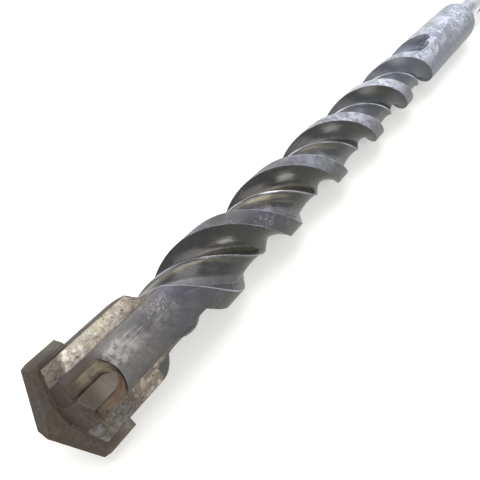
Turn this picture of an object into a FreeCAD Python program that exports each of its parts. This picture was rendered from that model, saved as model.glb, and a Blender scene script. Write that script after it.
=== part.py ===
import FreeCAD, Part

import os
import re

import Sketcher
from FreeCAD import Placement, Rotation, Vector

os.makedirs("parts", exist_ok=True)
doc = FreeCAD.newDocument("four_cutter_bit")

# Driving sizes, in millimetres and degrees. The bit lies along X: its struck face
# is at zero and its point looks along +X. Every station is measured from those two ends.
SIZES = {
    # overall
    "overall_length": 570,
    "cutter_diameter": 42,
    "land_diameter": 35,
    "roll": 47,
    # shank
    "shank_diameter": 18,
    "grip_length": 92,
    "neck_diameter": 23,
    "neck_length": 26.5,
    "weld_share": 0.45,
    "shank_chamfer": 1.6,
    "drive_groove_width": 4.2,
    "drive_groove_depth": 2.9,
    "drive_groove_length": 68,
    "paired_groove_angle": 36,
    "lock_recess_width": 5.2,
    "lock_recess_depth": 2.6,
    "lock_recess_length": 25,
    "lock_recess_start": 19,
    # spiral
    "lead": 106,
    "flute_overrun": 2,
    "land_width": 11.5,
    "land_start": 24.9,
    "step_width": 2.4,
    "step_radius": 13.1,
    "shallow_radius": 11.9,
    "rib_radius": 13.3,
    "rib_station": 22.4,
    "rib_width": 2.4,
    "rib_drop": 0.9,
    "deep_radius": 9.7,
    "deep_station": 32.5,
    "flute_start_angle": 67,
    "shallow_turns": 2.845,
    "deep_turns": 2.8,
    "runout_turns": 0.05,
    "runout_lift": 8,
    "rear_edge": 1.2,
    # head
    "nose_setback": 2.95,
    "nose_slope": 0.31,
    "channel_floor": 4.6,
    "leading_length": 45,
    "trailing_length": 34,
    "ramp_length": 8,
    "ramp_rise": 2.5,
    "lobe_angle": 81,
    "lobe_width": 18.4,
    "flat_depth": 2.2,
    "flat_length": 18.2,
    "flat_rounding": 3,
    # main cutter plate
    "plate_thickness": 6.6,
    "plate_flank": 14,
    "roof_slope": 0.45,
    "edge_inset": 1.3,
    "relief_angle": 20,
    "rake_angle": 60,
    "margin_relief": 2.3,
    # side cutters
    "side_angle": 87,
    "side_thickness": 6.2,
    "side_flank": 13,
    "side_sunk": 8.5,
    "side_proud": 1.2,
    "side_setback": 2.6,
    "side_inset": 0.7,
    # brazing
    "braze_gap": 0.25,
    # how far cutting shapes reach past what they cut
    "overrun": 6,
}

sheet = doc.addObject("Spreadsheet::Sheet", "sizes")
for row, (alias, value) in enumerate(SIZES.items(), start=1):
    sheet.set(f"A{row}", alias)
    sheet.set(f"B{row}", str(value))
    sheet.setAlias(f"B{row}", alias)

doc.recompute()

# Lengths worked out from the driving sizes
WORKED_OUT = {
    "land_radius": "land_diameter / 2",
    "cutter_radius": "cutter_diameter / 2",
    # the chisel edge lies a little below the line where the cutting edges would meet
    "point_rise": "cutter_radius * roof_slope - (half_plate - edge_inset) * tan(relief_angle)",
    "corner_station": "overall_length - point_rise",
    "nose_station": "corner_station - nose_setback",
    "nose_front": "nose_station + land_radius * nose_slope",
    "rim_station": "grip_length + neck_length",
    "weld_station": "grip_length + neck_length * weld_share",
    "start_pitch": "lead / 2",
    "flute_front": "corner_station - land_start - land_width + start_pitch * flute_start_angle / 180",
    "flute_width": "start_pitch - land_width",
    "flute_top": "land_radius + flute_overrun",
    "rib_place": "rib_station - rib_width / 2",
    "rib_foot": "rib_radius - rib_drop",
    "flank_reach": "(flute_top - rib_radius) * rib_width / (2 * rib_drop)",
    "half_plate": "plate_thickness / 2",
    "half_lobe": "lobe_width / 2",
    "half_side": "side_thickness / 2",
    "slot_floor": "corner_station - plate_flank - braze_gap",
    "flat_height": "land_radius - flat_depth",
    "flat_half": "sqrt(land_radius ^ 2 - flat_height ^ 2)",
    "side_inner": "land_radius - side_sunk",
    "side_radius": "land_radius + side_proud",
    "side_floor": "side_inner - braze_gap",
    "clear_radius": "cutter_radius + overrun",
    "clear_front": "overall_length + overrun",
}


def bind(thing, **formulas):
    """Tie properties of an object to cells of the sheet."""
    for name, formula in formulas.items():
        thing.setExpression(name.replace("__", "."), formula)


def cells(formula):
    """A formula as a property takes it, with every length read from the sheet."""
    def opened(found):
        word = found.group()
        if word in WORKED_OUT:
            return f"({cells(WORKED_OUT[word])})"
        return f"sizes.{word}" if word in SIZES else word
    return re.sub(r"[a-z_]+", opened, formula)


def size(formula):
    """What a formula comes to now."""
    value = sheet.evalExpression(cells(formula))
    return float(getattr(value, "Value", value))


def new_body(label):
    body = doc.addObject("PartDesign::Body", label)
    body.Label = label
    return body


def origin_part(body, role):
    return next(f for f in body.Origin.OriginFeatures if f.Role == role)


def new_sketch(body, name, plane, turn=None, out=None):
    """A sketch on an origin plane, turned about X and moved along its own normal."""
    sketch = body.newObject("Sketcher::SketchObject", name)
    sketch.AttachmentSupport = (origin_part(body, plane), [""])
    sketch.MapMode = "FlatFace"
    seat(sketch, turn, out)
    return sketch


def seat(sketch, turn, out):
    angle = size(turn) if turn else 0
    sketch.AttachmentOffset = Placement(Vector(), Rotation(Vector(1, 0, 0), angle))
    if turn:
        bind(sketch, AttachmentOffset__Rotation__Angle=cells(turn))
    if out:
        # the offset is given in the plane's own axes, before the turn
        bind(sketch, AttachmentOffset__Base__y=cells(f"-({out}) * sin({turn})"))
        bind(sketch, AttachmentOffset__Base__z=cells(f"({out}) * cos({turn})"))


def locate(sketch, geo, end, point):
    """Hold one point of a sketch by two formulas, from the sketch's origin."""
    for kind, formula in zip(("DistanceX", "DistanceY"), point):
        index = sketch.addConstraint(Sketcher.Constraint(kind, -1, 1, geo, end, size(formula)))
        sketch.setExpression(f"Constraints[{index}]", cells(formula))


def loop(sketch, corners, through=None):
    """A closed outline of corners. An edge whose number is in through is an arc by that point."""
    through = through or {}
    spots = [Vector(size(x), size(y), 0) for x, y in corners]
    count = len(corners)
    ends = []
    for i, start in enumerate(spots):
        stop = spots[(i + 1) % count]
        if i in through:
            middle = Vector(size(through[i][0]), size(through[i][1]), 0)
            arc = Part.Arc(start, middle, stop)
            geo = sketch.addGeometry(arc, False)
            turned = (middle - start).cross(stop - start).z < 0
            ends.append((geo, 2, 1) if turned else (geo, 1, 2))
            mark = sketch.addGeometry(Part.Point(middle), True)
            locate(sketch, mark, 1, through[i])
            sketch.addConstraint(Sketcher.Constraint("PointOnObject", mark, 1, geo))
        else:
            geo = sketch.addGeometry(Part.LineSegment(start, stop), False)
            ends.append((geo, 1, 2))
    for i in range(count):
        geo, _, stop = ends[i]
        following, start, _ = ends[(i + 1) % count]
        sketch.addConstraint(Sketcher.Constraint("Coincident", geo, stop, following, start))
        locate(sketch, following, start, corners[(i + 1) % count])
    doc.recompute()


def revolved(body, name, sketch):
    turned = body.newObject("PartDesign::Revolution", name)
    turned.Profile = sketch
    turned.ReferenceAxis = (origin_part(body, "X_Axis"), [""])
    turned.Angle = 360
    return turned


def pocket(body, name, sketch, length, both_ways=False, reverse=False):
    cut = body.newObject("PartDesign::Pocket", name)
    cut.Profile = sketch
    cut.Midplane = both_ways
    cut.Reversed = reverse
    bind(cut, Length=cells(length))
    return cut


def around(body, name, features, count):
    """The same features again, evenly spaced about the bit's axis."""
    pattern = body.newObject("PartDesign::PolarPattern", name)
    pattern.Originals = features
    pattern.Axis = (origin_part(body, "X_Axis"), [""])
    pattern.Angle = 360
    pattern.Occurrences = count
    body.Tip = pattern
    doc.recompute()
    return pattern


def rolled(thing, angle="0"):
    """Turn a finished piece about the bit's axis, by an angle from the plate and by the bit's roll."""
    turn = f"roll - ({angle})"
    thing.Placement = Placement(Vector(), Rotation(Vector(1, 0, 0), size(turn)))
    bind(thing, Placement__Rotation__Angle=cells(turn))
    return thing


# Shank

def drive_shank():
    body = new_body("drive_shank")
    outline = new_sketch(body, "shank_outline", "XZ_Plane")
    loop(outline, [
        ("0", "0"),
        ("0", "shank_diameter / 2 - shank_chamfer"),
        ("shank_chamfer", "shank_diameter / 2"),
        ("grip_length", "shank_diameter / 2"),
        ("grip_length + neck_diameter - shank_diameter", "neck_diameter / 2"),
        ("weld_station", "neck_diameter / 2"),
        ("weld_station", "0"),
    ])
    revolved(body, "shank_bar", outline)

    # open grooves drive the bit: one alone, and a pair across from it
    floor = "shank_diameter / 2 - drive_groove_depth"
    for name, turn in (
        ("lone_groove", "0"),
        ("left_groove", "180 - paired_groove_angle"),
        ("right_groove", "180 + paired_groove_angle"),
    ):
        shape = new_sketch(body, name + "_shape", "XY_Plane", turn, floor)
        half = "drive_groove_width / 2"
        loop(shape, [
            ("-overrun", f"-{half}"),
            (f"drive_groove_length - {half}", f"-{half}"),
            (f"drive_groove_length - {half}", half),
            ("-overrun", half),
        ], {1: ("drive_groove_length", "0")})
        pocket(body, name, shape, "shank_diameter", reverse=True)

    # closed recesses take the machine's locking rollers
    half = "lock_recess_width / 2"
    first = f"lock_recess_start + {half}"
    last = f"lock_recess_start + lock_recess_length - {half}"
    for name, turn in (("left_recess", "90"), ("right_recess", "270")):
        shape = new_sketch(body, name + "_shape", "XY_Plane", turn, "shank_diameter / 2 - lock_recess_depth")
        loop(shape, [
            (first, f"-{half}"), (last, f"-{half}"), (last, half), (first, half),
        ], {
            1: ("lock_recess_start + lock_recess_length", "0"),
            3: ("lock_recess_start", "0"),
        })
        pocket(body, name, shape, "shank_diameter", reverse=True)
    return rolled(body)


# Spiral body

def shallow_outline(sketch, front):
    """The groove next to the land's rear edge, cut by a plane through the axis."""
    step = f"{front} - step_width"
    foot = f"{front} - rib_place"
    loop(sketch, [
        (front, "flute_top"),
        (front, "land_radius"),
        (step, "step_radius"),
        (foot, "rib_foot"),
        (f"{front} - rib_station - flank_reach", "flute_top"),
    ], {2: (f"({step} + {foot}) / 2", "shallow_radius")})


def deep_outline(sketch, front):
    """The groove behind it. The two grooves' flanks cross in the rib's crest."""
    back = f"{front} - flute_width"
    loop(sketch, [
        (f"{front} - rib_station + flank_reach", "flute_top"),
        (f"{front} - rib_place - rib_width", "rib_foot"),
        (back, "land_radius"),
        (back, "flute_top"),
    ], {1: (f"{front} - deep_station", "deep_radius")})


def spiral(body, name, sketch, turns, height, lift=None):
    groove = body.newObject("PartDesign::SubtractiveHelix", name)
    groove.Profile = sketch
    groove.ReferenceAxis = (origin_part(body, "X_Axis"), [""])
    groove.Mode = 3
    groove.LeftHanded = False
    groove.Reversed = True
    groove.Turns = size(turns)
    groove.Height = size(height)
    groove.Growth = size(lift) / size(turns) if lift else 0
    bind(groove, Turns=cells(turns), Height=cells(height))
    if lift:
        bind(groove, Growth=cells(f"{lift} / {turns}"))
    return groove


def spiral_body():
    body = new_body("spiral_body")
    outline = new_sketch(body, "bar_outline", "XZ_Plane")
    loop(outline, [
        ("weld_station", "0"),
        ("weld_station", "neck_diameter / 2"),
        ("rim_station - (land_diameter - neck_diameter) / 2 - rear_edge", "neck_diameter / 2"),
        ("rim_station - rear_edge", "land_radius - rear_edge"),
        ("rim_station", "land_radius"),
        ("nose_station", "land_radius"),
        ("nose_front", "0"),
    ])
    revolved(body, "bar", outline)

    # each groove is a long spiral, then a short one that climbs out of the bar
    for name, outline_of in (("shallow", shallow_outline), ("deep", deep_outline)):
        turns = f"{name}_turns"
        main = new_sketch(body, name + "_section", "XZ_Plane", "flute_start_angle")
        outline_of(main, "flute_front")
        groove = spiral(body, name + "_groove", main, turns, f"lead * {turns}")
        tail = new_sketch(body, name + "_runout_section", "XZ_Plane", f"flute_start_angle - {turns} * 360")
        outline_of(tail, f"(flute_front - lead * {turns})")
        runout = spiral(body, name + "_runout", tail, "runout_turns", "lead * runout_turns", "runout_lift")
        around(body, name + "_pair", [groove, runout], 2)

    # dust channels, each side of the side cutter's lobe, with floors parallel to the plate
    for name, side in (("leading", "1"), ("trailing", "-1")):
        straight_end = f"corner_station - {name}_length"
        stations = (
            ("front", "clear_front", "channel_floor"),
            ("end", straight_end, "channel_floor"),
            ("ramp", f"{straight_end} - ramp_length", "channel_floor + ramp_rise"),
        )
        shapes = [
            channel_section(body, f"{name}_channel_{spot}", side, station, floor)
            for spot, station, floor in stations
        ]
        channel = body.newObject("PartDesign::SubtractiveLoft", name + "_channel")
        channel.Profile = shapes[0]
        channel.Sections = shapes[1:]
        channel.Ruled = True
        around(body, name + "_channels", [channel], 2)

    # a flat with a bowed end, milled on each lobe round the side cutter
    flat = new_sketch(body, "flat_shape", "XZ_Plane", "90 - side_angle", "-(flat_height)")
    end = "corner_station - flat_length"
    loop(flat, [
        ("clear_front", "-flat_half"),
        (f"{end} + flat_rounding", "-flat_half"),
        (f"{end} + flat_rounding", "flat_half"),
        ("clear_front", "flat_half"),
    ], {1: (end, "0")})
    milled = pocket(body, "lobe_flat", flat, "clear_radius")
    around(body, "lobe_flats", [milled], 2)

    # slots for the cutters
    slot = new_sketch(body, "side_slot_shape", "XZ_Plane", "90 - side_angle", "-(side_floor)")
    side_outline(slot, "braze_gap")
    cut = pocket(body, "side_slot", slot, "clear_radius")
    around(body, "side_slots", [cut], 2)
    slot = new_sketch(body, "plate_slot_shape", "XZ_Plane")
    plate_outline(slot)
    body.Tip = pocket(body, "plate_slot", slot, "plate_thickness + 2 * braze_gap", both_ways=True)
    return rolled(body)


def channel_section(body, name, side, station, floor):
    """A channel cut across: its floor, the lobe's side wall and an open outer corner."""
    section = new_sketch(body, name, "YZ_Plane")
    foot = f"({floor} + {side} * half_lobe * cos(lobe_angle)) / sin(lobe_angle)"
    loop(section, [
        (floor, f"{side} * half_lobe * sin(lobe_angle) + ({foot}) * cos(lobe_angle)"),
        (
            f"clear_radius * sin(lobe_angle) - {side} * half_lobe * cos(lobe_angle)",
            f"{side} * half_lobe * sin(lobe_angle) + clear_radius * cos(lobe_angle)",
        ),
        ("clear_radius * sin(lobe_angle)", f"{side} * clear_radius"),
        (floor, f"{side} * clear_radius"),
    ])
    section.AttachmentOffset = Placement(Vector(0, 0, size(station)), Rotation())
    bind(section, AttachmentOffset__Base__z=cells(station))
    return section


def plate_outline(sketch):
    """The slot for the main plate, seen square on."""
    loop(sketch, [
        ("slot_floor", "-clear_radius"),
        ("clear_front", "-clear_radius"),
        ("clear_front", "clear_radius"),
        ("slot_floor", "clear_radius"),
    ])


def side_outline(sketch, grow):
    """A side cutter seen from outside: straight sides and a round back end."""
    half = f"(half_side + {grow})"
    back = f"corner_station - side_setback - side_flank - {grow}"
    loop(sketch, [
        ("clear_front", f"-{half}"),
        (f"{back} + {half}", f"-{half}"),
        (f"{back} + {half}", half),
        ("clear_front", half),
    ], {1: (back, "0")})


# Cutters

def free_sketch(name):
    return doc.addObject("Sketcher::SketchObject", name)


def extruded(name, sketch, direction, ahead, behind="0"):
    solid = doc.addObject("Part::Extrusion", name)
    solid.Base = sketch
    solid.DirMode = "Custom"
    solid.Solid = True
    bind(solid, LengthFwd=cells(ahead), LengthRev=cells(behind))
    solid.Dir = Vector(*[size(part) for part in direction])
    for axis, part in zip("xyz", direction):
        bind(solid, **{"Dir__" + axis: cells(part)})
    return solid


def common(name, *solids):
    shared = doc.addObject("Part::MultiCommon", name)
    shared.Shapes = solids
    return shared


def raised(sketch, height):
    sketch.Placement = Placement(Vector(0, 0, size(height)), Rotation())
    bind(sketch, Placement__Base__z=cells(height))


def roof_section(sketch, half, inset, top, bottom):
    """Across a cutter at the bit's axis: a steep rake face, the edge and a relief face."""
    lip = f"-{half} + {inset}"
    loop(sketch, [
        (bottom, f"-{half}"),
        (f"{top} - {inset} * tan(rake_angle)", f"-{half}"),
        (top, lip),
        (f"{top} - (2 * {half} - {inset}) * tan(relief_angle)", half),
        (bottom, half),
    ])


def main_carbide():
    top = "corner_station + cutter_radius * roof_slope"
    arms = []
    for name, side in (("upper_arm", 1), ("lower_arm", -1)):
        section = free_sketch(name + "_section")
        roof_section(section, "half_plate", "edge_inset", top, "corner_station - 3 * clear_radius")
        # the lower arm is the upper one turned half a turn about the axis
        section.Placement = Placement(Vector(), Rotation(Vector(1, 0, 0), 0 if side > 0 else 180))
        slope = ("-roof_slope", "0", str(side))
        reach = "clear_radius * 1.2"
        arms.append(extruded(name, section, slope, reach, reach))
    margin = free_sketch("plate_end_view")
    # the ends fall back behind the cutting corners
    loop(margin, [
        ("-half_plate", "sqrt(cutter_radius ^ 2 - half_plate ^ 2)"),
        ("-half_plate", "-(cutter_radius - margin_relief)"),
        ("half_plate", "-sqrt(cutter_radius ^ 2 - half_plate ^ 2)"),
        ("half_plate", "cutter_radius - margin_relief"),
    ])
    margin.Placement = yz_plane()
    bind(margin, Placement__Base__x=cells("corner_station - plate_flank"))
    blank = extruded("plate_blank", margin, ("1", "0", "0"), "clear_front")
    return rolled(common("main_carbide", *arms, blank))


def yz_plane():
    """Sketch x along Y, sketch y along Z and the normal along X."""
    return Placement(Vector(), Rotation(Vector(1, 1, 1), 120))


def side_carbide(number, angle):
    name = f"side_carbide_{number}"
    plan = free_sketch(name + "_plan")
    side_outline(plan, "0")
    raised(plan, "side_inner")
    blank = extruded(name + "_blank", plan, ("0", "0", "1"), "clear_radius")
    rim = doc.addObject("Part::Cylinder", name + "_rim")
    rim.Placement = Placement(Vector(), Rotation(Vector(0, 1, 0), 90))
    bind(rim, Radius=cells("side_radius"), Height=cells("clear_front"))
    section = free_sketch(name + "_section")
    top = "corner_station - side_setback + side_radius * nose_slope"
    roof_section(section, "half_side", "side_inset", top, "0")
    roof = extruded(name + "_roof", section, ("-nose_slope", "0", "1"), "clear_radius * 1.2")
    return rolled(common(name, blank, rim, roof), angle)


# Braze metal, which is what a slot holds inside the bar beside its cutter

def nose():
    """The bar's front end before anything is cut in it."""
    outline = free_sketch("nose_outline")
    loop(outline, [
        ("slot_floor", "0"),
        ("slot_floor", "land_radius"),
        ("nose_station", "land_radius"),
        ("nose_front", "0"),
    ])
    turned = doc.addObject("Part::Revolution", "nose")
    turned.Source = outline
    turned.Axis = Vector(1, 0, 0)
    turned.Solid = True
    return turned


def beside(name, slot, front, cutter):
    layer = doc.addObject("Part::Cut", name)
    layer.Base = common(name + "_filling", slot, front)
    layer.Tool = cutter
    return layer


def main_braze(front, cutter):
    outline = free_sketch("main_braze_outline")
    plate_outline(outline)
    outline.Placement = Placement(Vector(), Rotation(Vector(1, 0, 0), 90))
    half = "half_plate + braze_gap"
    slot = extruded("main_braze_slot", outline, ("0", "1", "0"), half, half)
    return beside("main_braze", rolled(slot), front, cutter)


def side_braze(number, angle, front, cutter):
    name = f"side_braze_{number}"
    outline = free_sketch(name + "_outline")
    side_outline(outline, "braze_gap")
    raised(outline, "side_floor")
    slot = extruded(name + "_slot", outline, ("0", "0", "1"), "flat_height - side_floor")
    return beside(name, rolled(slot, angle), front, cutter)


front = nose()
plate = main_carbide()
pieces = [drive_shank(), spiral_body(), plate, main_braze(front, plate)]
for number, angle in ((1, "side_angle"), (2, "side_angle + 180")):
    cutter = side_carbide(number, angle)
    pieces += [cutter, side_braze(number, angle, front, cutter)]
doc.recompute()

for thing in doc.Objects:
    if "Invalid" in thing.State or "Error" in thing.State:
        raise RuntimeError(f"{thing.Label} did not build: {thing.State}")
for piece in pieces:
    shape = piece.Shape
    if shape.isNull() or not shape.isValid():
        raise RuntimeError(f"{piece.Label} has no valid shape")
    print(piece.Label, len(shape.Solids), "solid", round(shape.Volume), "mm3")
    shape.exportStep(f"parts/{piece.Label}.step")
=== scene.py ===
import math

import bpy
from mathutils import Euler, Matrix, Vector


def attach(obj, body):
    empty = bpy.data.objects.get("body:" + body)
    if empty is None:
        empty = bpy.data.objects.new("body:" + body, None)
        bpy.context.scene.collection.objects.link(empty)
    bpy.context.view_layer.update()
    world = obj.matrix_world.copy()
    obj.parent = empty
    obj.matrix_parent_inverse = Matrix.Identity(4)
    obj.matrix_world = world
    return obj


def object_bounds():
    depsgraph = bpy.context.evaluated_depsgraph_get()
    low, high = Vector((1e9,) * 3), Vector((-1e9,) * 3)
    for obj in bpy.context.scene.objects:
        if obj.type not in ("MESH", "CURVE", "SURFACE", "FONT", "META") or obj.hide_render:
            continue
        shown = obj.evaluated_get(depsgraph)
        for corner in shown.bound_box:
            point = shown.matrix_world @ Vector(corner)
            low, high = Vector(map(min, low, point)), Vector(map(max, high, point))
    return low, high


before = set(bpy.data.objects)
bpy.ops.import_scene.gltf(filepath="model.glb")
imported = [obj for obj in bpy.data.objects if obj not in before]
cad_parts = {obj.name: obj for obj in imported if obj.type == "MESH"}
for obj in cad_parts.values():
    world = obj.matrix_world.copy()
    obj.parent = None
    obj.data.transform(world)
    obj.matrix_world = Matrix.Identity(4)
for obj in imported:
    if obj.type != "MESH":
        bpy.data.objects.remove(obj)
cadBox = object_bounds()
mm = 0.001
print("frame loaded:", ", ".join(sorted(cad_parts)))

# The bit's own measures, in millimetres and degrees. It lies along X with its point at +X.
# Stations are measured back from the wide plate's two cutting corners.
bit = {
    "pointRise": 8.722,      # from the corners forward to the point
    "roll": 47.0,            # turn of the wide plate about the bit's axis
    "landRadius": 17.5,
    "ribRadius": 13.3,
    "lead": 106.0,           # how far along X a groove goes in one whole turn
    "grooveFront": 36.4,     # to a land's rear edge, level with the plate
    "ribShift": 22.4,        # from a land's rear edge back to the rib's crest
    "grooveEnd": 338.0,      # to where the grooves run out
    "channelFloor": 4.6,     # from the plate's middle plane to a dust channel's floor
    "channelRise": 2.5,      # how much the floor rises towards its rear
    "channelLength": 53.0,   # to the rear end of a dust channel's floor
    "sideAngle": 87.0,       # from the plate to a side cutter
    "flatHeight": 15.3,      # from the axis to the flat round a side cutter
    "sideHalf": 3.1,         # half of a side cutter's thickness
    "sideBack": 15.6,        # to a side cutter's round end
    "noseBack": 2.95,        # to the nose's rim, at the lands' radius
    "noseSlope": 0.31,       # how far the nose rises for each mm towards the axis
    "plateHalf": 3.3,        # half of the wide plate's thickness
}
cornerX = cadBox[1].x / mm - bit["pointRise"]
channelTop = bit["channelFloor"] + bit["channelRise"]
startPitch = bit["lead"] / 2   # the spiral has two starts


def hexToLinear(code, alpha=1.0):
    # the sRGB curve, undone
    parts = [int(code[i:i + 2], 16) / 255 for i in (1, 3, 5)]
    return (*[p / 12.92 if p <= 0.04045 else ((p + 0.055) / 1.055) ** 2.4 for p in parts], alpha)


def addNode(tree, kind, settings=None, inputs=None):
    # an input may be a value, a socket, or a node whose first live output is meant
    node = tree.nodes.new(kind)
    for name, value in (settings or {}).items():
        setattr(node, name, value)
    for name, value in (inputs or {}).items():
        if isinstance(value, bpy.types.Node):
            value = next(out for out in value.outputs if out.enabled)
        if isinstance(value, bpy.types.NodeSocket):
            tree.links.new(value, node.inputs[name])
        else:
            node.inputs[name].default_value = value
    return node


# Camera, at the photograph's place
camera = {
    "place": (584.45, 88.18, 149.1),  # mm
    "lookDown": 44.25,                # degrees below level
    "turn": 124.79,                   # degrees about the vertical
    "lens": 34.31,                    # mm
    "sensor": 36,                     # mm wide
    "nearest": 0.01,                  # m
    "farthest": 20,                   # m
}


def setCamera():
    data = bpy.data.cameras.new("camera")
    data.lens = camera["lens"]
    data.sensor_width = camera["sensor"]
    data.clip_start = camera["nearest"]
    data.clip_end = camera["farthest"]
    rig = bpy.data.objects.new("camera", data)
    rig.location = Vector(camera["place"]) * mm
    rig.rotation_euler = Euler((math.radians(90 - camera["lookDown"]), 0, math.radians(camera["turn"])))
    bpy.context.scene.collection.objects.link(rig)
    bpy.context.scene.camera = rig
    print("camera set")


# Floor and light: a pale matt floor, a wide soft ceiling, a tall window that the grooves mirror, and a small
# one beyond the shank
studio = {
    "floorSize": 6.0,          # m
    "floorColour": "#dcdcd9",
    "floorLift": 0.40,         # light added where the floor is seen directly or in the metal
    "skyLevel": 0.6,
    "skyTop": "#ffffff",
    "skySide": "#dfe3ea",
    "aim": (0.42, 0.0, 0.0),   # m, where the lamps point
    "lamps": {
        # place in m, size in m along the bit and across, power in W, colour
        "ceilingSoftbox": ((0.30, -0.46, 1.05), (1.5, 1.2), 15.0, "#fffaf4"),
        "sideWindow": ((0.62, 0.95, 0.42), (0.26, 0.75), 6.2, "#fffaf0"),
        "farWindow": ((-0.62, -0.06, 0.50), (0.30, 0.30), 0.8, "#dfe9ff"),
    },
}


def anyDirectView(tree):
    # 1 for camera, glossy and transmission rays, so that metal shows the same pale surround
    path = addNode(tree, "ShaderNodeLightPath")
    seen = addNode(tree, "ShaderNodeMath", {"operation": "MAXIMUM"}, {
        0: path.outputs["Is Camera Ray"], 1: path.outputs["Is Glossy Ray"]})
    return addNode(tree, "ShaderNodeMath", {"operation": "MAXIMUM"}, {
        0: seen, 1: path.outputs["Is Transmission Ray"]})


def layFloor():
    half = studio["floorSize"] / 2
    corners = [(-half, -half), (half, -half), (half, half), (-half, half)]
    mesh = bpy.data.meshes.new("floor")
    mesh.from_pydata([(x, y, cadBox[0].z) for x, y in corners], [], [(0, 1, 2, 3)])
    floor = bpy.data.objects.new("floor", mesh)
    bpy.context.scene.collection.objects.link(floor)
    material = bpy.data.materials.new("paleMattFloor")
    material.use_nodes = True
    tree = material.node_tree
    tree.nodes.clear()
    matt = addNode(tree, "ShaderNodeBsdfDiffuse", None, {"Color": hexToLinear(studio["floorColour"])})
    lift = addNode(tree, "ShaderNodeMath", {"operation": "MULTIPLY"}, {
        0: anyDirectView(tree), 1: studio["floorLift"]})
    glow = addNode(tree, "ShaderNodeEmission", None, {"Color": (1, 1, 1, 1), "Strength": lift})
    both = addNode(tree, "ShaderNodeAddShader", None, {0: matt, 1: glow})
    addNode(tree, "ShaderNodeOutputMaterial", None, {"Surface": both})
    mesh.materials.append(material)


def hangSky():
    world = bpy.data.worlds.new("studioSky")
    bpy.context.scene.world = world
    world.use_nodes = True
    tree = world.node_tree
    tree.nodes.clear()
    direction = addNode(tree, "ShaderNodeTexCoord").outputs["Generated"]
    height = addNode(tree, "ShaderNodeSeparateXYZ", None, {0: direction}).outputs["Z"]
    sky = addNode(tree, "ShaderNodeMix", {"data_type": "RGBA"}, {
        0: height, 6: hexToLinear(studio["skySide"]), 7: hexToLinear(studio["skyTop"])})
    lit = addNode(tree, "ShaderNodeBackground", None, {
        "Color": sky.outputs[2], "Strength": studio["skyLevel"]})
    plain = addNode(tree, "ShaderNodeBackground", None, {"Color": (1, 1, 1, 1), "Strength": 1.0})
    mixed = addNode(tree, "ShaderNodeMixShader", None, {0: anyDirectView(tree), 1: lit, 2: plain})
    addNode(tree, "ShaderNodeOutputWorld", None, {"Surface": mixed})


def hangLamps():
    for name, (place, size, power, colour) in studio["lamps"].items():
        data = bpy.data.lights.new(name, "AREA")
        data.shape = "RECTANGLE"
        data.size, data.size_y = size
        data.energy = power
        data.color = hexToLinear(colour)[:3]
        lamp = bpy.data.objects.new(name, data)
        lamp.location = place
        # the lamp's first side keeps level along the bit
        back = (lamp.location - Vector(studio["aim"])).normalized()
        along = (Vector((1, 0, 0)) - back * back.x).normalized()
        lamp.rotation_euler = Matrix((along, back.cross(along), back)).transposed().to_euler()
        bpy.context.scene.collection.objects.link(lamp)


# Every material below is a dictionary of colours, patches, masks, stacks and relief. The functions here turn
# it into nodes, and keep what is made so far by name in known.
patchRoughness = 0.6       # of the noise in every patch
edgeRamp = (0.985, 0.90)   # how alike a soft and a hard normal are, where an edge starts and where it is full


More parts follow.
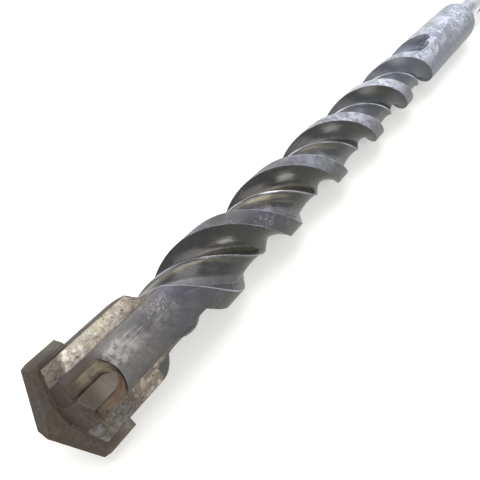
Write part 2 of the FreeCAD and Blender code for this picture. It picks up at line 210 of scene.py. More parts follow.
def bitPlaces(tree):
    # places that follow the bit, in millimetres
    coord = addNode(tree, "ShaderNodeTexCoord")
    inMm = addNode(tree, "ShaderNodeVectorMath", {"operation": "SCALE"}, {
        0: coord.outputs["Object"], "Scale": 1 / mm})
    place = addNode(tree, "ShaderNodeSeparateXYZ", None, {0: inMm})
    offAxis = addNode(tree, "ShaderNodeVectorMath", {"operation": "MULTIPLY"}, {0: inMm, 1: (0, 1, 1)})
    radius = addNode(tree, "ShaderNodeVectorMath", {"operation": "LENGTH"}, {0: offAxis})
    # square to the wide plate
    level = addNode(tree, "ShaderNodeVectorRotate", {"rotation_type": "X_AXIS"}, {
        "Vector": inMm, "Angle": math.radians(-bit["roll"])})
    plate = addNode(tree, "ShaderNodeSeparateXYZ", None, {0: level})
    levelNormal = addNode(tree, "ShaderNodeVectorRotate", {"rotation_type": "X_AXIS"}, {
        "Vector": coord.outputs["Normal"], "Angle": math.radians(-bit["roll"])})
    facing = addNode(tree, "ShaderNodeSeparateXYZ", None, {0: levelNormal})
    upward = addNode(tree, "ShaderNodeSeparateXYZ", None, {0: coord.outputs["Normal"]})
    quarter = addNode(tree, "ShaderNodeMath", {"operation": "MULTIPLY"}, {
        0: plate.outputs["Y"], 1: plate.outputs["Z"]})
    # untwisted, so that the grooves run straight along X and grain follows them
    fromCorner = addNode(tree, "ShaderNodeMath", {"operation": "SUBTRACT"}, {
        0: cornerX, 1: place.outputs["X"]})
    around = addNode(tree, "ShaderNodeMath", {"operation": "ARCTAN2"}, {
        0: plate.outputs["Y"], 1: plate.outputs["Z"]})
    unwound = addNode(tree, "ShaderNodeMath", {"operation": "MULTIPLY_ADD"}, {
        0: around, 1: -bit["lead"] / (2 * math.pi), 2: fromCorner})
    shift = addNode(tree, "ShaderNodeMath", {"operation": "WRAP"}, {
        0: unwound, 1: bit["grooveFront"] + startPitch, 2: bit["grooveFront"]})
    intoGroove = addNode(tree, "ShaderNodeMath", {"operation": "SUBTRACT"}, {0: shift, 1: bit["grooveFront"]})
    twist = addNode(tree, "ShaderNodeMath", {"operation": "MULTIPLY"}, {
        0: place.outputs["X"], 1: -2 * math.pi / bit["lead"]})
    grain = addNode(tree, "ShaderNodeVectorRotate", {"rotation_type": "X_AXIS"}, {
        "Vector": inMm, "Angle": twist})
    return {
        "place": inMm,
        "grain": grain,
        "station": place.outputs["X"],
        "fromCorner": fromCorner,
        "intoGroove": intoGroove,        # back from a land's rear edge, along X
        "radius": radius,
        "across": plate.outputs["Y"],    # from the wide plate's middle plane
        "along": plate.outputs["Z"],     # along the wide plate's width
        "quarter": quarter,              # square mm, above zero in the two quarters of the leading channels
        "faceAcross": facing.outputs["Y"],   # 1 or -1 where a face is parallel to the plate
        "faceFront": facing.outputs["X"],    # 1 where it faces forward
        "faceUp": upward.outputs["Z"],       # 1 where it faces up
    }


def edgeTurn(tree, width):
    # 1 on open faces, and less within width mm of a sharp edge or corner
    soft = addNode(tree, "ShaderNodeBevel", {"samples": 4}, {"Radius": width * mm})
    hard = addNode(tree, "ShaderNodeNewGeometry").outputs["Normal"]
    alike = addNode(tree, "ShaderNodeVectorMath", {"operation": "DOT_PRODUCT"}, {0: soft, 1: hard})
    return alike.outputs["Value"]


def addPatches(tree, known, patches):
    # cloudy patches, 1 inside them: place, size in mm, low and high end of the noise, detail, and squeeze, by
    # which a length along the bit is multiplied
    for name, (place, size, low, high, detail, squeeze) in patches.items():
        vector = known[place]
        if squeeze != 1:
            vector = addNode(tree, "ShaderNodeVectorMath", {"operation": "MULTIPLY"}, {
                0: vector, 1: (squeeze, 1, 1)})
        noise = addNode(tree, "ShaderNodeTexNoise", None, {
            "Vector": vector, "Scale": 1 / size, "Detail": detail, "Roughness": patchRoughness})
        known[name] = addNode(tree, "ShaderNodeMapRange", {"interpolation_type": "SMOOTHSTEP"}, {
            "Value": noise, "From Min": low, "From Max": high})


def addMasks(tree, known, masks):
    # a mask is the product of its parts, each a name or a ramp: what it reads, where it is 0 and where 1
    for name, parts in masks.items():
        product = None
        for part in parts:
            if isinstance(part, str):
                factor = known[part]
            else:
                source, none, full = part
                factor = addNode(tree, "ShaderNodeMapRange", {"interpolation_type": "SMOOTHSTEP"}, {
                    "Value": known[source], "From Min": none, "From Max": full})
            if product is not None:
                factor = addNode(tree, "ShaderNodeMath", {"operation": "MULTIPLY"}, {0: product, 1: factor})
            product = factor
        known[name] = product


def addStacks(tree, known, stacks):
    # a stack is a base and its layers, each a colour or number and then the masks and shares that it shows by
    for name, (base, *layers) in stacks.items():
        base = known.get(base, base)
        # a Mix node's sockets for its two values and its result
        kind, first, second, result = ("FLOAT", 2, 3, 0) if isinstance(base, float) else ("RGBA", 6, 7, 2)
        for value, mask, *shares in layers:
            amount = known[mask]
            for share in shares:
                amount = addNode(tree, "ShaderNodeMath", {"operation": "MULTIPLY"}, {
                    0: amount, 1: known.get(share, share)})
            mixed = addNode(tree, "ShaderNodeMix", {"data_type": kind}, {
                0: amount, first: base, second: known.get(value, value)})
            base = mixed.outputs[result]
        known[name] = base


def startMaterial(name, look):
    material = bpy.data.materials.new(name)
    material.use_nodes = True
    tree = material.node_tree
    tree.nodes.clear()
    known = bitPlaces(tree)
    for colour, code in look["colours"].items():
        known[colour] = hexToLinear(code)
    addPatches(tree, known, look["patches"])
    return material, tree, known


def finishMaterial(tree, known, look, normal=None):
    # relief is a list of bumps over each other: height, depth in mm and strength
    for height, depth, strength in look["relief"]:
        inputs = {"Height": known[height], "Distance": depth * mm, "Strength": strength}
        if normal is not None:
            inputs["Normal"] = normal
        normal = addNode(tree, "ShaderNodeBump", None, inputs)
    addStacks(tree, known, look["stacks"])
    skin = addNode(tree, "ShaderNodeBsdfPrincipled", None, {
        "Base Color": known["colour"], "Metallic": known["metal"], "Roughness": known["rough"],
        "Normal": normal})
    addNode(tree, "ShaderNodeOutputMaterial", None, {"Surface": skin})


# Phosphated spring steel, hot-rolled and milled: the eye sees a dark, faintly lilac oxide on the lands,
# near-black grooves with olive and tan streaks that masonry dust polished, a bare rib crest, and whitish
# scuffs near the head. Over this lie painted light and shade: up-facing faces are painted lighter, the crest
# and the lands' rear edges carry a painted highlight, and down-facing faces, the grooves' rear walls, the
# strip beside the plate, the trailing channels and the channels' corners are darkened with painted shade.
phosphatedSteel = {
    "colours": {
        "grooveDark": "#323437",
        "grooveBlack": "#26262b",
        "grooveBrown": "#3b3839",
        "grooveOliveSheen": "#636053",
        "groovePolishAndSheen": "#8f8678",
        "grooveRear": "#3c424c",
        "shelfLilac": "#5c5e66",
        "landLilac": "#4c4d5c",
        "landGrey": "#404246",
        "landOlive": "#494841",
        "landRear": "#747a87",
        "edgeBright": "#a3a5ad",
        "crestBareAndHighlight": "#b4b8c0",
        "scuffPale": "#a9a5a3",
        "dust": "#75716a",
        "paintedShadeDark": "#2f2f2e",
        "jawPaintedShade": "#2c2b29",
        "lobeGrey": "#515154",
        "lobeDark": "#3b3d45",
        "lobeWarm": "#655f57",
        "headBrown": "#2a241c",
        "headRust": "#403226",
        "channelSand": "#eadecb",
        "channelPale": "#fff9ee",
        "channelDark": "#83786a",
        "channelGrey": "#827b70",
        "channelPit": "#3b352e",
        "channelVein": "#7a6f62",
        "channelFront": "#57534b",
        "channelBlue": "#7e848b",
        "brazeOlive": "#4b473b",
        "brazeRed": "#4c3c33",
        "plainLilac": "#626977",
        "plainSilver": "#b3b8c6",
        "plainGrey": "#565d66",
        "plainScratch": "#d3d6e2",
    },
    "edgeWidth": 0.4,          # mm, bare steel along sharp edges
    "cornerDustAndShade": 1.0,         # mm, how far the channels' corners are darkened: packed dust and painted shade
    "roundness": 0.55,         # mm, how far edges are rubbed round
    "raggedness": 34.0,        # mm, how far the head's and the rear's finishes wander into the spiral
    "unevenness": 9.0,         # mm, how far the stains at the front wander
    "scuffAngle": 15.0,        # degrees from a side cutter towards the plate, where a lobe rubs in the hole
    # waves that rolling left, about 6 mm wide and longer along the grooves
    "waves": {"Scale": 1 / 6, "Detail": 2.0, "Roughness": 0.5},
    "waveSqueeze": (0.3, 1, 1),
    # crystals about 0.35 mm across, coarser than the real phosphate grain, so that they show
    "crystals": {"Scale": 1 / 0.35, "Detail": 2.0, "Roughness": 0.5},
    # thin wandering lines, where a noise with so many waves for each mm crosses its middle
    "lines": {
        "scratchLine": {"Scale": 0.07, "Detail": 5.0, "Roughness": 0.62, "Distortion": 1.4},
        "crackLine": {"Scale": 0.3, "Detail": 4.0, "Roughness": 0.6, "Distortion": 0.8},
    },
    # place, size in mm, low and high end, detail, squeeze
    "patches": {
        "wander": ("place", 14, 0.2, 0.8, 4.0, 1),
        "cloud": ("place", 16, 0.35, 0.68, 4.0, 1),
        "cloudFine": ("place", 5, 0.38, 0.66, 6.0, 1),
        "cloudWide": ("place", 34, 0.42, 0.62, 3.0, 1),
        "cloudOlive": ("place", 11, 0.5, 0.7, 4.0, 1),
        "streaks": ("grain", 2.2, 0.40, 0.72, 5.0, 0.07),   # polished lines along a groove
        "broad": ("grain", 6.0, 0.44, 0.62, 3.0, 0.16),
        "broken": ("grain", 9, 0.3, 0.62, 4.0, 0.5),
        "alongMarks": ("place", 0.9, 0.58, 0.7, 3.0, 0.08),
        "speckle": ("place", 0.55, 0.50, 0.64, 3.0, 1),
        "smear": ("place", 8, 0.50, 0.64, 4.0, 0.8),
        "silver": ("place", 10, 0.47, 0.65, 5.0, 0.5),
        "edgeGaps": ("place", 3.0, 0.36, 0.6, 4.0, 1),
        "pit": ("place", 1.5, 0.62, 0.70, 5.0, 1),
        "grit": ("place", 2.6, 0.42, 0.58, 6.0, 1),
        "blotch": ("place", 4.5, 0.44, 0.58, 5.0, 1),
        "fleck": ("place", 1.8, 0.52, 0.66, 4.0, 1),
    },
    # what a ramp reads, and where it is 0 and where 1: mm, or the square mm of quarter, or a share for faces,
    # edges and lines
    "masks": {
        # the spiral
        "land": [("radius", bit["landRadius"] - 0.35, bit["landRadius"] - 0.08)],
        "spiralled": [("fromCorner", 34, 44)],
        "shelf": [("intoGroove", 9.5, 6.5)],
        "nextToRib": [("intoGroove", 8, 15), ("intoGroove", 22, 19)],
        "deepFloor": [("intoGroove", 23.5, 27), ("intoGroove", 35, 31)],
        # each groove's steep rear wall below the next land, where shade is painted
        "rearWallShade": [("intoGroove", 33, 38)],
        "crest": [
            ("fromCrest", 1.4, 0.35),
            ("radius", bit["ribRadius"] - 0.9, bit["ribRadius"] - 0.3),
            ("radius", bit["ribRadius"] + 0.6, bit["ribRadius"] + 0.3),
            "spiralled",
        ],
        # each land's rear edge, where worn steel and a painted highlight are laid
        "landEdgeWearAndHighlight": [
            ("fromPitchMiddle", startPitch / 2 - 0.55, startPitch / 2 - 0.25),
            ("radius", bit["landRadius"] - 0.7, bit["landRadius"] - 0.3),
            "spiralled",
            ("fromCorner", bit["grooveEnd"] - 12, bit["grooveEnd"] - 24),
        ],
        "fore": [("fromCorner", 290, 110)],
        "rear": [("fromCorner", 110, 270)],
        "plain": [("ragged", bit["grooveEnd"] - 62, bit["grooveEnd"] + 6)],
        # the head
        "head": [("ragged", 84, 40)],
        # the land strip beside the plate's plane behind the head, darkened with painted shade
        "jaw": ["land", ("acrossSize", 9.5, 7.0), ("fromCorner", 62, 50)],
        "front": [("uneven", 23, 15)],
        "besideChannel": [("acrossSize", 11.5, 8.4), ("fromCorner", 62, 45)],
        "rubbed": [("scuffHeight", bit["landRadius"] - 0.75, bit["landRadius"] - 0.15)],
        "scuffFront": [("fromCorner", 36, 20)],
        "scuffLong": [("fromCorner", 75, 30)],
        "nose": [("faceFront", 0.25, 0.6), ("fromCorner", 8.0, 5.5)],
        "flat": [
            ("sideHeight", bit["flatHeight"] - 0.25, bit["flatHeight"] - 0.1),
            ("sideHeight", bit["flatHeight"] + 0.35, bit["flatHeight"] + 0.15),
            ("faceSize", 0.93, 0.97),
            ("fromCorner", 19.5, 19.0),
        ],
        "flatFront": [("fromCorner", 16, 8)],
        "redSide": [("quarter", 20, -50)],
        # the dust channels
        "channel": [
            ("acrossSize", bit["channelFloor"] - 0.3, bit["channelFloor"] - 0.1),
            ("acrossSize", channelTop + 0.2, channelTop),
            ("faceSize", 0.90, 0.94),
            ("fromCorner", bit["channelLength"] + 1.5, bit["channelLength"] - 1.0),
        ],
        "leading": [("quarter", -1.0, 1.0)],
        "channelBack": [("fromCorner", 26, 44)],
        "leadFront": [("uneven", 17, 13)],
        "trailFront": [("uneven", 28, 18)],
        "trailBlue": [("uneven", 24, 16)],
        "corner": [("cornerTurn", *edgeRamp)],
        "rubble": ["grit", "channel"],
        # anywhere
        "edge": [("edgeTurn", *edgeRamp), "edgeGaps"],
        "scratch": [("scratchLine", 0.028, 0.0042)],
        "vein": [("crackLine", 0.035, 0.008)],
        # lighter on up-facing faces: dust settling on top, and painted light from above
        "topDustAndPaintedLight": [("faceUp", 0.0, 0.9)],
        # up-facing faces, where painted light from above brightens the silvery finish
        "paintedTopLight": [("faceUp", 0.35, 0.85)],
        # faces turned down, darkened with painted shade
        "under": [("faceUp", 0.95, 0.1)],
    },
    # a base, and layers over it: what shows, then the masks and shares that it shows by
    "stacks": {
        "groove": [
            "grooveDark",
            ("grooveBrown", "cloud"),
            ("grooveRear", "rear"),
            ("grooveBlack", "cloudWide", "fore", 0.6),
            ("shelfLilac", "shelf", 0.9),
            # olive and tan streaks of dust polish, shown only where faces turn up, so they also paint a sheen
            # from above
            ("grooveOliveSheen", "nextToRib", "broad", "topDustAndPaintedLight", "fore"),
            ("grooveOliveSheen", "deepFloor", "broad", "topDustAndPaintedLight", "fore", 0.7),
            ("groovePolishAndSheen", "streaks", "topDustAndPaintedLight", "cloudFine", "fore", 0.5),
            # painted shade on each groove's steep rear wall
            ("paintedShadeDark", "rearWallShade", 0.7),
            ("plainLilac", "plain", 0.85),
        ],
        "landSkin": [
            "landGrey",
            ("landLilac", "cloud"),
            ("landOlive", "cloudOlive", 0.7),
            ("landRear", "rear", 0.8),
            # the rear lands' silvery mottling and scratches, made lighter on up-facing faces as painted light
            ("plainSilver", "rear", "paintedTopLight", 0.15),
            ("plainSilver", "rear", "cloudFine", "topDustAndPaintedLight"),
            ("plainScratch", "rear", "grit", "paintedTopLight", 0.5),
            ("dust", "alongMarks", 0.35),
            ("scuffPale", "speckle", "smear", 0.8),
        ],
        "lobeSkin": [
            "lobeGrey",
            ("lobeDark", "cloudWide"),
            ("lobeWarm", "cloudFine", 0.6),
            ("dust", "alongMarks", 0.3),
            ("scuffPale", "scratch", 0.08),
            ("scuffPale", "rubbed", "cloudFine", 0.3),
            ("scuffPale", "rubbed", "scuffFront", "grit", 0.5),
            ("scuffPale", "rubbed", "speckle", "smear", 0.5),
            ("scuffPale", "rubbed", "alongMarks", "scuffLong", 0.6),
            ("headBrown", "front", 0.9),
            ("headBrown", "besideChannel", 0.7),
        ],
        "plainSkin": [
            "plainLilac",
            ("plainGrey", "cloud"),
            # the plain's silver and scratches, made lighter on up-facing faces as painted light
            ("plainSilver", "paintedTopLight", 0.3),
            ("plainSilver", "silver", "paintedTopLight", 0.9),
            ("plainScratch", "scratch", "paintedTopLight"),
        ],
        "leadDust": [
            "channelSand",
            ("channelPale", "grit"),
            ("channelDark", "blotch", 0.3),
            ("channelVein", "vein", 0.12),
            ("channelVein", "fleck", 0.4),
            ("channelDark", "channelBack", 0.5),
            ("channelGrey", "leadFront"),
            ("channelPit", "pit"),
        ],
        # the trailing channels' dust: its darker base is painted shade, its stains, flecks and pits are its
        # own
        "trailDustShaded": [
            "channelDark",
            ("channelSand", "grit", 0.5),
            ("channelGrey", "cloud", 0.5),
            ("channelPit", "vein", 0.15),
            ("channelPit", "fleck", 0.4),
            ("channelFront", "trailFront", 0.85),
            ("channelBlue", "trailBlue", "blotch", 0.5),
            ("channelPit", "pit"),
        ],
        "channelSkin": [
            "trailDustShaded",
            ("leadDust", "leading"),
            # the channels' corners darkened: packed dust and painted shade
            ("channelPit", "corner", 0.8),
        ],
        "flatSkin": [
            "brazeOlive",
            ("brazeRed", "redSide"),
            ("headBrown", "flatFront", 0.8),
        ],
        "noseSkin": [
            "headBrown",
            ("headRust", "cloudFine"),
            ("channelPit", "pit"),
        ],
        # how strongly the crest's bare steel and its painted highlight show, more at the rear
        "crestShare": [0.6, (0.9, "rear")],
        "colour": [
            "groove",
            ("landSkin", "land"),
            ("lobeSkin", "land", "head"),
            # painted shade on the land strip beside the plate
            ("jawPaintedShade", "jaw", 0.85),
            # painted shade on faces turned down, on the spiral and on the plain
            ("paintedShadeDark", "under", 0.8),
            ("plainSkin", "plain", "land"),
            ("plainGrey", "under", "plain", 0.6),
            ("edgeBright", "edge", "spiralled", 0.7),
            # a thin bright line along each land's rear edge: worn steel with a painted highlight
            ("edgeBright", "landEdgeWearAndHighlight", "broken", 0.8),
            # the rib crest: bare steel, painted lighter as the crest's highlight
            ("crestBareAndHighlight", "crest", "broken", "crestShare"),
            ("channelSkin", "channel"),
            ("flatSkin", "flat"),
            ("noseSkin", "nose"),
        ],
        "rough": [
            0.23,
            (0.32, "cloudFine"),
            (0.2, "streaks", 0.5),
            (0.36, "rear"),
            (0.42, "land"),
            (0.42, "plain"),
            (0.5, "head"),
            (0.3, "edge", "spiralled"),
            (0.3, "crest"),
            (0.85, "channel"),
            (0.55, "flat"),
            (0.72, "nose"),
        ],
        "metal": [
            0.5,
            (0.45, "land"),
            (0.5, "plain"),
            (0.9, "edge", "spiralled"),
            (0.9, "crest"),
            (0.02, "channel"),
            (0.3, "flat"),
            (0.05, "nose"),
        ],
    },
    # height, depth in mm, strength
    "relief": [
        ("waves", 0.32, 1.0),
        ("crystals", 0.012, 0.6),
        ("streaks", 0.04, 0.5),
        ("rubble", 0.35, 1.0),
        ("holes", -0.3, 1.0),
    ],
}


def paintBody():
    look = phosphatedSteel
    material, tree, known = startMaterial("phosphatedSpringSteel", look)
    known["edgeTurn"] = edgeTurn(tree, look["edgeWidth"])
    known["cornerTurn"] = edgeTurn(tree, look["cornerDustAndShade"])

    # places of this body's own surfaces
    for name, reach in (("ragged", look["raggedness"]), ("uneven", look["unevenness"])):
        known[name] = addNode(tree, "ShaderNodeMath", {"operation": "MULTIPLY_ADD"}, {
            0: known["wander"], 1: reach, 2: known["fromCorner"]})
    for name, middle in (("fromCrest", bit["ribShift"]), ("fromPitchMiddle", startPitch / 2)):
        offset = addNode(tree, "ShaderNodeMath", {"operation": "SUBTRACT"}, {
            0: known["intoGroove"], 1: middle})
        known[name] = addNode(tree, "ShaderNodeMath", {"operation": "ABSOLUTE"}, {0: offset})
    for name, source in (("acrossSize", "across"), ("faceSize", "faceAcross")):
        known[name] = addNode(tree, "ShaderNodeMath", {"operation": "ABSOLUTE"}, {0: known[source]})
    scuffAngle = bit["sideAngle"] - look["scuffAngle"]
    for name, angle in (("sideHeight", bit["sideAngle"]), ("scuffHeight", scuffAngle)):
        # how far out a point is towards that angle from the plate, on either side of the axis
        turn = math.radians(angle)
        outAcross = addNode(tree, "ShaderNodeMath", {"operation": "MULTIPLY"}, {
            0: known["across"], 1: math.sin(turn)})
        out = addNode(tree, "ShaderNodeMath", {"operation": "MULTIPLY_ADD"}, {
            0: known["along"], 1: math.cos(turn), 2: outAcross})
        known[name] = addNode(tree, "ShaderNodeMath", {"operation": "ABSOLUTE"}, {0: out})
    for name, line in look["lines"].items():
        noise = addNode(tree, "ShaderNodeTexNoise", None, {"Vector": known["place"], **line})
        offset = addNode(tree, "ShaderNodeMath", {"operation": "SUBTRACT"}, {0: noise, 1: 0.5})
        known[name] = addNode(tree, "ShaderNodeMath", {"operation": "ABSOLUTE"}, {0: offset})
    addMasks(tree, known, look["masks"])

    # heights of its relief
    rolled = addNode(tree, "ShaderNodeVectorMath", {"operation": "MULTIPLY"}, {
        0: known["grain"], 1: look["waveSqueeze"]})
    known["waves"] = addNode(tree, "ShaderNodeTexNoise", None, {"Vector": rolled, **look["waves"]})
    known["crystals"] = addNode(tree, "ShaderNodeTexNoise", None, {
        "Vector": known["place"], **look["crystals"]})
    crusted = addNode(tree, "ShaderNodeMath", {"operation": "MAXIMUM"}, {
        0: known["channel"], 1: known["nose"]})
    known["holes"] = addNode(tree, "ShaderNodeMath", {"operation": "MULTIPLY"}, {0: known["pit"], 1: crusted})
    rounded = addNode(tree, "ShaderNodeBevel", {"samples": 6}, {"Radius": look["roundness"] * mm})
    finishMaterial(tree, known, look, rounded)
    return material


# Turned and hardened shank steel: bright, with fine rings from the lathe and grey rubbing where the machine
# holds it
turnedSteel = {
    "colours": {
        "bright": "#c3c5c9",
        "grey": "#94979c",
        "grooveGrey": "#7f8085",
        "oilBrown": "#6b655b",
        "edgePale": "#d9dadd",
    },
    # rings about 0.6 mm apart, coarser than the real feed marks, so that they show
    "rings": {"Scale": 1 / 0.6, "Detail": 3.0, "Roughness": 0.6},
    "ringSqueeze": (1, 0.03, 0.03),
    "edgeWidth": 0.4,          # mm
    "patches": {
        "rubbed": ("place", 12, 0.42, 0.66, 5.0, 0.25),
        "oil": ("place", 18, 0.55, 0.72, 4.0, 1),
    },
    "masks": {
        "slot": [("radius", 8.85, 8.6), ("station", 91, 88)],   # below the round wall, short of the neck
        "edge": [("edgeTurn", *edgeRamp)],
    },
    "stacks": {
        "colour": [
            "bright",
            ("grey", "rubbed"),
            ("grooveGrey", "slot"),
            ("oilBrown", "oil", 0.5),
            ("edgePale", "edge"),
        ],
        "rough": [
            0.27,
            (0.4, "rubbed"),
            (0.45, "slot"),
            (0.5, "oil"),
        ],
        "metal": [1.0],
    },
    "relief": [("rings", 0.02, 0.5)],
}


def paintShank():
    look = turnedSteel
    material, tree, known = startMaterial("turnedShankSteel", look)
    known["edgeTurn"] = edgeTurn(tree, look["edgeWidth"])
    addMasks(tree, known, look["masks"])
    squeezed = addNode(tree, "ShaderNodeVectorMath", {"operation": "MULTIPLY"}, {
        0: known["place"], 1: look["ringSqueeze"]})
    known["rings"] = addNode(tree, "ShaderNodeTexNoise", None, {"Vector": squeezed, **look["rings"]})
    finishMaterial(tree, known, look)
    return material


# Sintered tungsten carbide, ground: a heavy matt grey, browned by brazing heat and dust, with pale chipped
# edges
sinteredCarbide = {
    "colours": {
        "grey": "#59544c",
        "dark": "#403a33",
        "brown": "#2a2219",
        "rust": "#3b2e20",
        "edgePale": "#857e73",
        "pitDark": "#2f2b27",
    },
    # grains about 0.4 mm across, coarser than the real ones, so that they show
    "grains": {"Scale": 1 / 0.4, "Detail": 3.0, "Roughness": 0.6},
    "edgeWidth": 0.35,         # mm
    "patches": {
        "cloud": ("place", 5, 0.4, 0.62, 5.0, 1),
        "fine": ("place", 1.4, 0.4, 0.65, 5.0, 1),
        "pit": ("place", 1.3, 0.66, 0.72, 5.0, 1),
        "edgeGaps": ("place", 1.6, 0.35, 0.6, 4.0, 1),
    },
    "masks": {
        "burnt": [("radius", 24.0, 18.0), ("fromCorner", 12.0, 5.0)],
        "edge": [("edgeTurn", *edgeRamp), "edgeGaps"],
    },
    "stacks": {
        "colour": [
            "grey",
            ("dark", "cloud", 0.7),
            ("brown", "burnt", 0.9),
            ("rust", "burnt", "fine", 0.7),
            ("edgePale", "edge", 0.45),
            ("pitDark", "pit", 0.8),
        ],
        "rough": [
            0.5,
            (0.7, "burnt"),
            (0.58, "fine"),
        ],
        "metal": [0.35, (0.05, "burnt")],
    },
    "relief": [("grains", 0.02, 0.6), ("pit", -0.2, 1.0)],
}


def paintCarbide():
    look = sinteredCarbide
    material, tree, known = startMaterial("sinteredCarbide", look)
    known["edgeTurn"] = edgeTurn(tree, look["edgeWidth"])
    addMasks(tree, known, look["masks"])
    known["grains"] = addNode(tree, "ShaderNodeTexNoise", None, {"Vector": known["place"], **look["grains"]})
    finishMaterial(tree, known, look)
    return material


# Silver braze that flowed and cooled in air: a lumpy skin, olive where flux burnt on it and copper red where
# thin. The leading channel's side is olive, the other is red, and the part near the nose is dark with soot.
silverBraze = {
    "colours": {
        "olive": "#544e40",
        "pale": "#6d6655",
        "red": "#574437",
        "sootDark": "#352f28",
    },
    # lumps about 1.4 mm across
    "lumps": {"Scale": 0.7, "Detail": 4.0, "Roughness": 0.55},
    "patches": {
        "cloud": ("place", 4, 0.42, 0.6, 5.0, 1),
        "copper": ("place", 6, 0.5, 0.62, 3.0, 1),
        "soot": ("place", 3, 0.6, 0.7, 5.0, 1),
    },
    "masks": {
        "redSide": [("quarter", 20, -50)],
        "nearNose": [("fromCorner", 9, 5)],
    },
    "stacks": {
        "colour": [
            "olive",
            ("pale", "cloud", 0.7),
            ("red", "copper"),
            ("red", "redSide", 0.75),
            ("sootDark", "soot", 0.8),
            ("sootDark", "nearNose", 0.8),
        ],
        "rough": [
            0.6,
            (0.72, "cloud"),
            (0.85, "soot"),
        ],
        "metal": [0.25],
    },
    "relief": [("lumps", 0.3, 0.9)],
}


def paintBraze():
    look = silverBraze
    material, tree, known = startMaterial("airCooledBraze", look)
    addMasks(tree, known, look["masks"])
    known["lumps"] = addNode(tree, "ShaderNodeTexNoise", None, {"Vector": known["place"], **look["lumps"]})
    finishMaterial(tree, known, look)
    return material


# Beads of braze along the joints: a lumpy tube that follows each joint's line, made by Geometry Nodes
bead = {
    "sideRadius": 2.5,         # mm, round a side cutter
    "sideRings": ((4.3, 13.7), (6.1, 13.3)),  # mm, each from the cutter's middle and from the axis
    "sideFront": 5.2,          # mm, from the corners back to a side ring's front
    "sideTurnSteps": 12,       # round the cutter's round end
    "frontBulge": (1.3, 1.5),  # mm, how far the ring's last points stand ahead of its front
    "frontDrop": 0.6,          # mm, how much nearer to the axis they are
    "frontShare": 0.6,         # of the ring's half width, where they are
    "plateRadius": 0.55,       # mm, where the plate leaves the nose
    "plateStart": 3.5,         # mm from the axis
    "plateStep": 1.15,         # mm, from point to point
    "platePoints": 12,
    "plateSink": 0.1,          # mm, into the nose
    "plateStand": 0.2,         # mm, off the plate's face
    "lump": 1.1,               # mm, how far the skin wanders
    "lumpSize": 3.2,           # mm, the size of a lump
    "lumpDetail": 3.0,
    "step": 0.7,               # mm, between the tube's rings
    "sides": 16,               # of the tube
    "seed": 7,
}


def beadTree(material):
    tree = bpy.data.node_groups.new("brazeBead", "GeometryNodeTree")
    face = tree.interface
    face.new_socket("Geometry", in_out="INPUT", socket_type="NodeSocketGeometry")
    sizes = {
        "Radius": bead["plateRadius"] * mm,
        "Step": bead["step"] * mm,
        "Lump": bead["lump"] * mm,
        "Lump Size": bead["lumpSize"] * mm,
        "Seed": float(bead["seed"]),
    }
    for name, value in sizes.items():
        face.new_socket(name, in_out="INPUT", socket_type="NodeSocketFloat").default_value = value
    face.new_socket("Geometry", in_out="OUTPUT", socket_type="NodeSocketGeometry")
    given = addNode(tree, "NodeGroupInput").outputs
    line = addNode(tree, "GeometryNodeMeshToCurve", None, {"Mesh": given["Geometry"]})
    even = addNode(tree, "GeometryNodeResampleCurve", {"mode": "LENGTH"}, {
        "Curve": line, "Length": given["Step"]})
    ring = addNode(tree, "GeometryNodeCurvePrimitiveCircle", None, {
        "Resolution": bead["sides"], "Radius": given["Radius"]})
    tube = addNode(tree, "GeometryNodeCurveToMesh", None, {
        "Curve": even, "Profile Curve": ring, "Fill Caps": True})
    scale = addNode(tree, "ShaderNodeMath", {"operation": "DIVIDE"}, {0: 1.0, 1: given["Lump Size"]})
    noise = addNode(tree, "ShaderNodeTexNoise", {"noise_dimensions": "4D"}, {
        "Scale": scale, "Detail": bead["lumpDetail"], "W": given["Seed"]})
    centred = addNode(tree, "ShaderNodeMath", {"operation": "SUBTRACT"}, {0: noise.outputs["Fac"], 1: 0.5})
    reach = addNode(tree, "ShaderNodeMath", {"operation": "MULTIPLY"}, {0: centred, 1: given["Lump"]})
    normal = addNode(tree, "GeometryNodeInputNormal")
    shift = addNode(tree, "ShaderNodeVectorMath", {"operation": "SCALE"}, {0: normal, "Scale": reach})
    moved = addNode(tree, "GeometryNodeSetPosition", None, {"Geometry": tube, "Offset": shift})
    smooth = addNode(tree, "GeometryNodeSetShadeSmooth", None, {"Geometry": moved})
    real = addNode(tree, "GeometryNodeRealizeInstances", None, {"Geometry": smooth})
    clad = addNode(tree, "GeometryNodeSetMaterial", None, {"Geometry": real, "Material": material})
    addNode(tree, "NodeGroupOutput", None, {"Geometry": clad})
    return tree


def beadAlong(name, lines, radius, tree):
    # lines are lists of points in millimetres, in the bit's rolled place
    mesh = bpy.data.meshes.new(name + "Line")
    points = []
    edges = []
    for line in lines:
        edges += [(len(points) + i, len(points) + i + 1) for i in range(len(line) - 1)]
        points += [Vector(p) * mm for p in line]
    mesh.from_pydata(points, edges, [])
    guide = bpy.data.objects.new(name + "Line", mesh)
    bpy.context.scene.collection.objects.link(guide)
    modifier = guide.modifiers.new("bead", "NODES")
    modifier.node_group = tree
    sockets = {item.name: item.identifier for item in tree.interface.items_tree if item.in_out == "INPUT"}
    modifier[sockets["Radius"]] = radius * mm
    bpy.context.view_layer.update()
    solid = bpy.data.meshes.new_from_object(guide.evaluated_get(bpy.context.evaluated_depsgraph_get()))
    guide.modifiers.remove(modifier)
    bpy.data.objects.remove(guide)
    piece = bpy.data.objects.new(name, solid)
    bpy.context.scene.collection.objects.link(piece)
    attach(piece, "root")
    print(name, "has", len(solid.polygons), "faces")


def turnedPoint(station, side, height, angle):
    # side and height are square to a cutter that stands at that angle from the plate
    turn = Matrix.Rotation(math.radians(bit["roll"]), 3, "X") @ Matrix.Rotation(math.radians(-angle), 3, "X")
    return turn @ Vector((station, side, height))


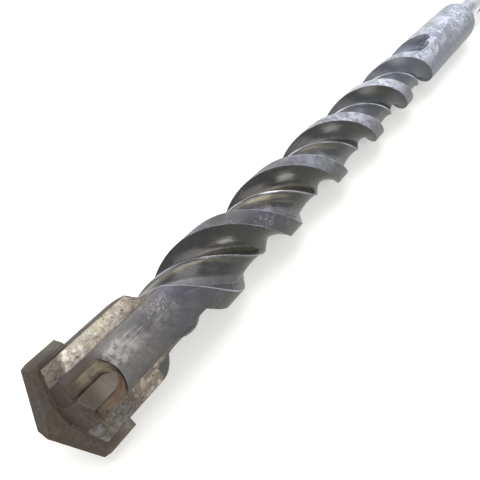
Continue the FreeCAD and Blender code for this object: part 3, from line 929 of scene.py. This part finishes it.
def sideBeadLine(angle, offset, height):
    # down one side of the cutter, round its back end, up the other and across its front
    front = cornerX - bead["sideFront"]
    middle = cornerX - bit["sideBack"] + bit["sideHalf"]
    line = [turnedPoint(front, offset, height, angle)]
    for i in range(bead["sideTurnSteps"] + 1):
        t = math.radians(90 + 180 / bead["sideTurnSteps"] * i)
        line.append(turnedPoint(middle + offset * math.cos(t), offset * math.sin(t), height, angle))
    line.append(turnedPoint(front, -offset, height, angle))
    low = height - bead["frontDrop"]
    for bulge, side in zip(bead["frontBulge"], (-1, 1)):
        line.append(turnedPoint(front + bulge, side * offset * bead["frontShare"], low, angle))
    line.append(turnedPoint(front, offset, height, angle))
    return line


def plateBeadLines():
    lines = []
    for face in (1, -1):
        for arm in (1, -1):
            line = []
            for i in range(bead["platePoints"]):
                out = bead["plateStart"] + i * bead["plateStep"]
                inward = bit["landRadius"] - math.hypot(out, bit["plateHalf"])
                station = cornerX - bit["noseBack"] + inward * bit["noseSlope"] - bead["plateSink"]
                side = face * (bit["plateHalf"] + bead["plateStand"])
                line.append(turnedPoint(station, side, arm * out, 0))
            lines.append(line)
    return lines


def makeBeads(material):
    tree = beadTree(material)
    for number, turn in ((1, 0), (2, 180)):
        angle = bit["sideAngle"] + turn
        lines = [sideBeadLine(angle, offset, height) for offset, height in bead["sideRings"]]
        beadAlong(f"side_bead_{number}", lines, bead["sideRadius"], tree)
    beadAlong("plate_beads", plateBeadLines(), bead["plateRadius"], tree)
    print("braze beads made")


def dress(material, *nodes):
    for node in nodes:
        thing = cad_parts[node]
        thing.data.materials.clear()
        thing.data.materials.append(material)


bpy.context.scene.view_settings.view_transform = "Standard"
setCamera()
layFloor()
hangSky()
hangLamps()
print("studio set")
dress(paintBody(), "spiral_body")
dress(paintShank(), "drive_shank")
dress(paintCarbide(), "main_carbide", "side_carbide_1", "side_carbide_2")
braze = paintBraze()
dress(braze, "main_braze", "side_braze_1", "side_braze_2")
print("steel, carbide and braze painted")
makeBeads(braze)
